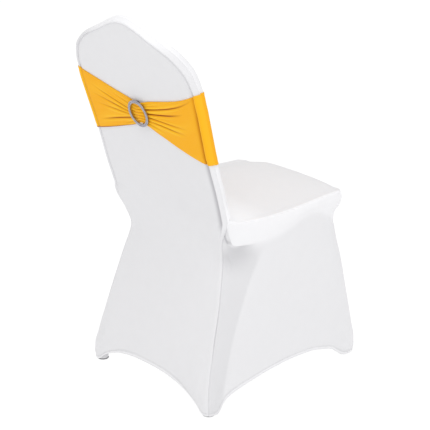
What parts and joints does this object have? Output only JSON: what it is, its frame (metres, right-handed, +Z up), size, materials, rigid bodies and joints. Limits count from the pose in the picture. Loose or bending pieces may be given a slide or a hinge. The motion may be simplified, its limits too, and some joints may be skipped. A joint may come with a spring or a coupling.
{
  "type": "chair cover with sash",
  "caption": "White stretch cover for a banquet chair with a crowned back, arched hems and foot pockets, and a golden sash band drawn through a round ring buckle behind the back.",
  "frame": {"origin": "on the floor under the middle of the cover's width and depth", "axes": "+Z up from the floor the feet touch, -Y the way the chair faces, +X towards the left side of someone who sits on it"},
  "size_m": [0.4462, 0.5956, 0.9328],
  "materials": {
    "cover_cloth": "white stretch knit with a soft sheen",
    "sash_cloth": "golden yellow stretch knit, lightly glossy, gathered in creases",
    "ring_metal": "silver plated, set with small clear stones",
    "sole_patch": "grey coated patch"
  },
  "bodies": {
    "root": {"back_panel": "cover_cloth", "front_panel": "cover_cloth", "side_panel_left": "cover_cloth", "side_panel_right": "cover_cloth", "foot_pocket_rear_left": "cover_cloth", "foot_pocket_rear_right": "cover_cloth", "foot_pocket_front_left": "cover_cloth", "foot_pocket_front_right": "cover_cloth", "foot_sole_rear_left": "sole_patch", "foot_sole_rear_right": "sole_patch", "foot_sole_front_left": "sole_patch", "foot_sole_front_right": "sole_patch", "sash": "sash_cloth", "ring_buckle": "ring_metal"}
  },
  "joints": []
}
